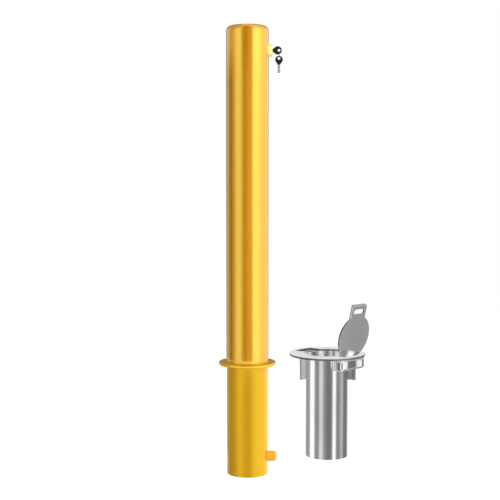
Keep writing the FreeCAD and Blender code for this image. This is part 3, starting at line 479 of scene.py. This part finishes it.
def ring_points(centre, radius, height, start=0.0, turn=360.0):
    """Points round a circle, or round an arc that starts at an angle and turns by another."""
    step = settings("bollard_welds").ripple / POINTS_PER_RIPPLE
    count = max(FEWEST_RING_POINTS, round(math.radians(turn) * radius / step))
    points = []
    for index in range(count):
        angle = math.radians(start + turn * index / count)
        points.append((centre.x + radius * math.cos(angle), centre.y + radius * math.sin(angle), height))
    return points


class BOLLARD_OT_paint_post(bpy.types.Operator):
    """Paint the post, its cap, collar, boss and bolt"""
    bl_idname = "bollard.paint_post"
    bl_label = "Paint post"

    def execute(self, context):
        paint = settings("bollard_paint")
        tones = (paint.yellow, paint.amber)
        gloss = paint_material("gloss_powder_coat", *tones, paint.roughness, paint.peel)
        dress(PAINTED_NODES, gloss)
        satin = paint_material("satin_powder_coat", *tones, paint.satin, paint.peel, coat=0.1, spread=0.015)
        dress(["foot_tube", "collar_plate"], satin)
        # The lock boss takes the pale boss tone: a painted highlight over its yellow coat
        tones = (paint.boss, paint.boss)
        boss = paint_material("boss_painted_highlight_coat", *tones, paint.satin, paint.peel, metallic=0)
        dress(["lock_boss"], boss)
        tones = (paint.bolt, paint.bolt)
        bolt = paint_material("bolt_powder_coat", *tones, paint.satin, paint.peel, metallic=0, coat=0)
        dress(["lock_bolt"], bolt)
        centre = Vector((0, 0, 0))
        seams = (
            ("collar_weld_top", POST_RADIUS, collar_high.z),
            ("collar_weld_foot", FOOT_RADIUS, collar_low.z),
        )
        for name, radius, height in seams:
            weld_bead(name, ring_points(centre, radius, height), True, satin)
        return {"FINISHED"}


class BOLLARD_OT_finish_lock(bpy.types.Operator):
    """Finish the lock, the keys and their ring"""
    bl_idname = "bollard.finish_lock"
    bl_label = "Finish lock and keys"

    def execute(self, context):
        steel = settings("bollard_steel")
        chrome = metal_material("lock_chrome", steel.chrome, *CHROME_FINISH)
        nickel = metal_material("key_nickel", steel.nickel, *BLADE_FINISH, edge=SMALL_EDGE, metallic=0.8)
        dull = metal_material("ring_steel", steel.key_ring, *WIRE_FINISH, edge=SMALL_EDGE)
        head = plastic_material("key_plastic", steel.plastic)
        dress(["lock_housing", "lock_plug"], chrome)
        dress(["key_blade", "spare_key_blade"], nickel)
        dress(["key_ring"], dull)
        dress(["key_bow", "spare_key_bow"], head)
        return {"FINISHED"}


class BOLLARD_OT_finish_mechanism(bpy.types.Operator):
    """Finish the working parts inside the post"""
    bl_idname = "bollard.finish_mechanism"
    bl_label = "Finish mechanism"

    def execute(self, context):
        steel = settings("bollard_steel")
        zinc = metal_material("zinc_plate", steel.zinc, *ZINC_FINISH)
        mill = metal_material("mill_steel", steel.mill, *MILL_FINISH)
        dress(ZINC_NODES, zinc)
        dress(PLAIN_STEEL_NODES, mill)
        return {"FINISHED"}


class BOLLARD_OT_finish_receiver(bpy.types.Operator):
    """Finish the ground receiver's sleeve, flange, hinge well and anchors"""
    bl_idname = "bollard.finish_receiver"
    bl_label = "Finish receiver"

    def execute(self, context):
        steel = settings("bollard_steel")
        sleeve = metal_material("sleeve_stainless", steel.sleeve, *SLEEVE_FINISH)
        plate = metal_material("plate_stainless", steel.plate, *PLATE_FINISH)
        # Lit and shaded copies of one stainless: painted light on the left anchor, painted shade on the
        # right
        left = metal_material("left_anchor_stainless", steel.left_anchor_painted_light, *ANCHOR_FINISH)
        right = metal_material("right_anchor_stainless", steel.right_anchor_painted_shade, *ANCHOR_FINISH)
        # The flange's cut edges carry the painted shade
        top = metal_material("flange_stainless", steel.plate, *PLATE_FINISH, face_normal=(0, 0, 1))
        well = metal_material("well_stainless", steel.sleeve, *WELL_FINISH)
        bead = metal_material("weld_stainless", steel.weld, *WELD_FINISH)
        tray = metal_material("tray_stainless", steel.plate, *TRAY_FINISH)
        dress(SLEEVE_NODES, sleeve)
        dress(["anchor_left"], left)
        dress(["anchor_right"], right)
        dress(["receiver_flange"], top)
        dress(["tab_tray"], tray)
        dress(HINGE_NODES, plate)
        dress(["hinge_well"], well)
        seat_low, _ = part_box("seat_ring")
        for name, start, turn in SLEEVE_WELDS:
            points = ring_points(SLEEVE_CENTRE, SLEEVE_RADIUS, seat_low.z, start=start, turn=turn)
            weld_bead(name, points, False, bead)
        for node, side in (("anchor_left", -1), ("anchor_right", 1)):
            low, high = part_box(node)
            x = SLEEVE_CENTRE.x + side * SLEEVE_RADIUS
            seam = (x, SLEEVE_CENTRE.y - SEAM_INSET, low.z + SEAM_FOOT)
            points = upright_points(seam, high.z - low.z - SEAM_SHORTER)
            weld_bead(node + "_weld", points, False, bead)
        return {"FINISHED"}


class BOLLARD_OT_finish_lid(bpy.types.Operator):
    """Finish the receiver's lid"""
    bl_idname = "bollard.finish_lid"
    bl_label = "Finish lid"

    def execute(self, context):
        steel = settings("bollard_steel")
        hinge = next(joint for joint in frame["joints"] if joint["name"] == "lid_hinge")
        opened = math.radians(max(abs(limit) for limit in hinge["range_deg"]))
        face = Matrix.Rotation(opened, 3, Vector(hinge["axis"])) @ Vector((0, 0, 1))
        # The lid's cut edges carry the painted shade
        lid = metal_material("lid_stainless", steel.lid, *LID_FINISH, face_normal=face)
        dress(["lid_plate"], lid)
        return {"FINISHED"}


def background_switch(nodes, links):
    """One where a camera, glossy or transmission ray looks, and zero for the rest."""
    path = nodes.new("ShaderNodeLightPath")
    glossy = nodes.new("ShaderNodeMath")
    glossy.operation = "MAXIMUM"
    links.new(path.outputs["Is Camera Ray"], glossy.inputs[0])
    links.new(path.outputs["Is Glossy Ray"], glossy.inputs[1])
    both = nodes.new("ShaderNodeMath")
    both.operation = "MAXIMUM"
    links.new(glossy.outputs[0], both.inputs[0])
    links.new(path.outputs["Is Transmission Ray"], both.inputs[1])
    return both.outputs[0]


def white_world():
    """White to the camera and in reflections, and a plain grey light elsewhere."""
    world = bpy.data.worlds.new("studio_world")
    world.use_nodes = True
    nodes = world.node_tree.nodes
    links = world.node_tree.links
    light = nodes["Background"]
    light.inputs["Color"].default_value = (1, 1, 1, 1)
    light.inputs["Strength"].default_value = WORLD_LEVEL
    shown = nodes.new("ShaderNodeBackground")
    shown.inputs["Color"].default_value = (1, 1, 1, 1)
    shown.inputs["Strength"].default_value = 1.0
    mix = nodes.new("ShaderNodeMixShader")
    links.new(background_switch(nodes, links), mix.inputs["Fac"])
    links.new(light.outputs[0], mix.inputs[1])
    links.new(shown.outputs[0], mix.inputs[2])
    links.new(mix.outputs[0], nodes["World Output"].inputs["Surface"])
    bpy.context.scene.world = world


def floor_material():
    """White floor that keeps a soft shadow, and that reflections look through to the panels."""
    material = bpy.data.materials.new("studio_floor")
    material.use_nodes = True
    nodes = material.node_tree.nodes
    links = material.node_tree.links
    nodes.remove(nodes["Principled BSDF"])
    diffuse = nodes.new("ShaderNodeBsdfDiffuse")
    diffuse.inputs["Color"].default_value = (FLOOR_TONE, FLOOR_TONE, FLOOR_TONE, 1)
    glow = nodes.new("ShaderNodeEmission")
    glow.inputs["Strength"].default_value = FLOOR_GLOW
    path = nodes.new("ShaderNodeLightPath")
    share = nodes.new("ShaderNodeMath")
    share.operation = "MULTIPLY"
    share.inputs[1].default_value = FLOOR_GLOW_SHARE
    links.new(path.outputs["Is Camera Ray"], share.inputs[0])
    lit = nodes.new("ShaderNodeMixShader")
    links.new(share.outputs[0], lit.inputs["Fac"])
    links.new(diffuse.outputs[0], lit.inputs[1])
    links.new(glow.outputs[0], lit.inputs[2])
    clear = nodes.new("ShaderNodeBsdfTransparent")
    mix = nodes.new("ShaderNodeMixShader")
    links.new(path.outputs["Is Glossy Ray"], mix.inputs["Fac"])
    links.new(lit.outputs[0], mix.inputs[1])
    links.new(clear.outputs[0], mix.inputs[2])
    links.new(mix.outputs[0], nodes["Material Output"].inputs["Surface"])
    return material


def link_mesh(name, verts, faces, material):
    """Mesh piece that belongs to the studio."""
    mesh = bpy.data.meshes.new(name)
    mesh.from_pydata(verts, [], faces)
    mesh.materials.append(material)
    piece = bpy.data.objects.new(name, mesh)
    bpy.context.scene.collection.objects.link(piece)
    return piece


def panel_material(name, level, colour, inside_only):
    """Plain glow, which may be clear to what looks at the panel from outside its ring."""
    material = bpy.data.materials.new(name)
    material.use_nodes = True
    nodes = material.node_tree.nodes
    links = material.node_tree.links
    nodes.remove(nodes["Principled BSDF"])
    glow = nodes.new("ShaderNodeEmission")
    glow.inputs["Strength"].default_value = level
    glow.inputs["Color"].default_value = colour
    shown = glow.outputs[0]
    if inside_only:
        side = nodes.new("ShaderNodeNewGeometry")
        clear = nodes.new("ShaderNodeBsdfTransparent")
        mix = nodes.new("ShaderNodeMixShader")
        links.new(side.outputs["Backfacing"], mix.inputs["Fac"])
        links.new(clear.outputs[0], mix.inputs[1])
        links.new(glow.outputs[0], mix.inputs[2])
        shown = mix.outputs[0]
    links.new(shown, nodes["Material Output"].inputs["Surface"])
    return material


def reflected_panel(name, turn, level, centre, radius, height, colour=(1, 1, 1, 1), inside_only=False):
    """Upright panel that only reflections see, between two angles round a centre."""
    start, end = turn
    low, high = height
    steps = max(FEWEST_FACETS, round((end - start) / PANEL_FACET))
    verts = []
    for index in range(steps + 1):
        angle = math.radians(start + (end - start) * index / steps)
        x = centre.x + radius * math.sin(angle)
        y = centre.y - radius * math.cos(angle)
        verts.append((x, y, low))
        verts.append((x, y, high))
    faces = [(2 * i, 2 * i + 2, 2 * i + 3, 2 * i + 1) for i in range(steps)]
    panel = link_mesh(name, verts, faces, panel_material(name, level, colour, inside_only))
    panel.visible_camera = False
    panel.visible_diffuse = False
    panel.visible_shadow = False
    panel.visible_transmission = False
    panel.visible_volume_scatter = False


def panel_ring(name, steps, centre, radius, height, inside_only=True):
    """Panels side by side round a centre, from their start angles, levels and tones."""
    for index, ((start, level, tone), (end, _, _)) in enumerate(zip(steps, steps[1:])):
        colour = (1, tone, tone, 1)
        turn = (start, end)
        reflected_panel(f"{name}_{index}", turn, level, centre, radius, height, colour, inside_only)


def blended_steps(first, second, share):
    """Panel steps between two sets that have the same start angles."""
    steps = []
    for (start, level, tone), (_, other_level, other_tone) in zip(first, second):
        blended = (start, level + share * (other_level - level), tone + share * (other_tone - tone))
        steps.append(blended)
    return steps


def area_light(name, place, aim, size, power):
    """Soft rectangular lamp."""
    data = bpy.data.lights.new(name, "AREA")
    data.shape = "RECTANGLE"
    data.size = size[0]
    data.size_y = size[1]
    data.energy = power
    lamp = bpy.data.objects.new(name, data)
    lamp.location = place
    lamp.rotation_euler = (Vector(aim) - Vector(place)).to_track_quat("-Z", "Y").to_euler()
    lamp.visible_glossy = False
    bpy.context.scene.collection.objects.link(lamp)


class BOLLARD_OT_build_stage(bpy.types.Operator):
    """Build the floor, the lights, the reflected panels and the camera"""
    bl_idname = "bollard.build_stage"
    bl_label = "Build stage"

    def execute(self, context):
        stage = settings("bollard_stage")
        white_world()
        half = stage.floor_half
        verts = [(-half, -half, 0), (half, -half, 0), (half, half, 0), (-half, half, 0)]
        link_mesh("floor", verts, [(0, 1, 2, 3)], floor_material())
        centre = Vector((0, 0, 0))
        rim_foot = collar_low.z - COLLAR_PANEL_DEPTH
        well_foot = well_low.z - WELL_PANEL_DEPTH
        well_top = flange_low.z - WELL_PANEL_DROP
        crown_steps = [(angle, CROWN_SHARE * level, min(tone, 1)) for angle, level, tone in POST_TOP_PANELS]
        post_rings = (
            ("post_panel", POST_PANELS, (collar_low.z, TOP_BLENDS[0][0])),
            ("crown_panel", crown_steps, (CROWN_PANEL_FOOT, POST_PANEL_TOP)),
            ("collar_panel", COLLAR_PANELS, (rim_foot, collar_low.z)),
            ("foot_panel", FOOT_PANELS, (NEAR_PANEL_FOOT, rim_foot)),
        )
        for name, steps, height in post_rings:
            panel_ring(name, steps, centre, POST_PANEL_RADIUS, height)
        sleeve_rings = (
            ("well_panel", WELL_PANELS, (well_foot, well_top)),
            ("sleeve_panel", SLEEVE_PANELS, (NEAR_PANEL_FOOT, well_foot)),
        )
        for name, steps, height in sleeve_rings:
            panel_ring(name, steps, SLEEVE_CENTRE, SLEEVE_PANEL_RADIUS, height)
        tops = [low for low, _ in TOP_BLENDS[1:]] + [CROWN_PANEL_FOOT]
        for (low, share), high in zip(TOP_BLENDS, tops):
            steps = blended_steps(POST_PANELS, POST_TOP_PANELS, share)
            panel_ring(f"top_panel_{round(100 * share)}", steps, centre, POST_PANEL_RADIUS, (low, high))
        height = (STUDIO_FOOT, STUDIO_TOP)
        panel_ring("studio_panel", STUDIO_PANELS, centre, STUDIO_RADIUS, height, inside_only=False)
        height = (LID_PANEL_FOOT, STUDIO_FOOT)
        reflected_panel("lid_panel", LID_PANEL_TURN, LID_PANEL_LEVEL, centre, STUDIO_RADIUS, height)
        hide_from_reflections(UNREFLECTED_NODES)
        for lamp in LAMPS:
            area_light(*lamp)
        data = bpy.data.cameras.new("camera")
        data.lens = stage.lens
        data.sensor_width = SENSOR_WIDTH
        camera = bpy.data.objects.new("camera", data)
        camera.location = (stage.camera_shift, -stage.camera_distance, stage.camera_height)
        camera.rotation_euler = (math.radians(90) - stage.pitch, 0, 0)
        bpy.context.scene.collection.objects.link(camera)
        bpy.context.scene.camera = camera
        bpy.context.scene.view_settings.view_transform = "Standard"
        return {"FINISHED"}


class BOLLARD_PT_panel(bpy.types.Panel):
    """Sizes, colours and steps of the bollard"""
    bl_idname = "BOLLARD_PT_panel"
    bl_label = "Locking Bollard"
    bl_space_type = "VIEW_3D"
    bl_region_type = "UI"
    bl_category = "Bollard"

    def draw(self, context):
        for group, _ in PROPERTY_GROUPS:
            values = getattr(context.scene, group)
            for name in values.bl_rna.properties.keys():
                if name not in ("rna_type", "name"):
                    self.layout.prop(values, name)
        for operator in OPERATORS:
            self.layout.operator(operator.bl_idname)


PROPERTY_GROUPS = (
    ("bollard_paint", BollardPaint),
    ("bollard_steel", BollardSteel),
    ("bollard_welds", BollardWelds),
    ("bollard_stage", BollardStage),
)
OPERATORS = (
    BOLLARD_OT_paint_post,
    BOLLARD_OT_finish_lock,
    BOLLARD_OT_finish_mechanism,
    BOLLARD_OT_finish_receiver,
    BOLLARD_OT_finish_lid,
    BOLLARD_OT_build_stage,
)


def register():
    """Adds the property groups, the operators and the panel."""
    for name, group in PROPERTY_GROUPS:
        bpy.utils.register_class(group)
        setattr(bpy.types.Scene, name, bpy.props.PointerProperty(type=group))
    for operator in OPERATORS:
        bpy.utils.register_class(operator)
    bpy.utils.register_class(BOLLARD_PT_panel)


def unregister():
    """Takes the panel, the operators and the property groups away again."""
    bpy.utils.unregister_class(BOLLARD_PT_panel)
    for operator in reversed(OPERATORS):
        bpy.utils.unregister_class(operator)
    for name, group in reversed(PROPERTY_GROUPS):
        delattr(bpy.types.Scene, name)
        bpy.utils.unregister_class(group)


def main():
    """Runs each step of the scene."""
    register()
    bpy.ops.bollard.paint_post()
    bpy.ops.bollard.finish_lock()
    bpy.ops.bollard.finish_mechanism()
    bpy.ops.bollard.finish_receiver()
    bpy.ops.bollard.finish_lid()
    bpy.ops.bollard.build_stage()


if __name__ == "__main__":
    main()
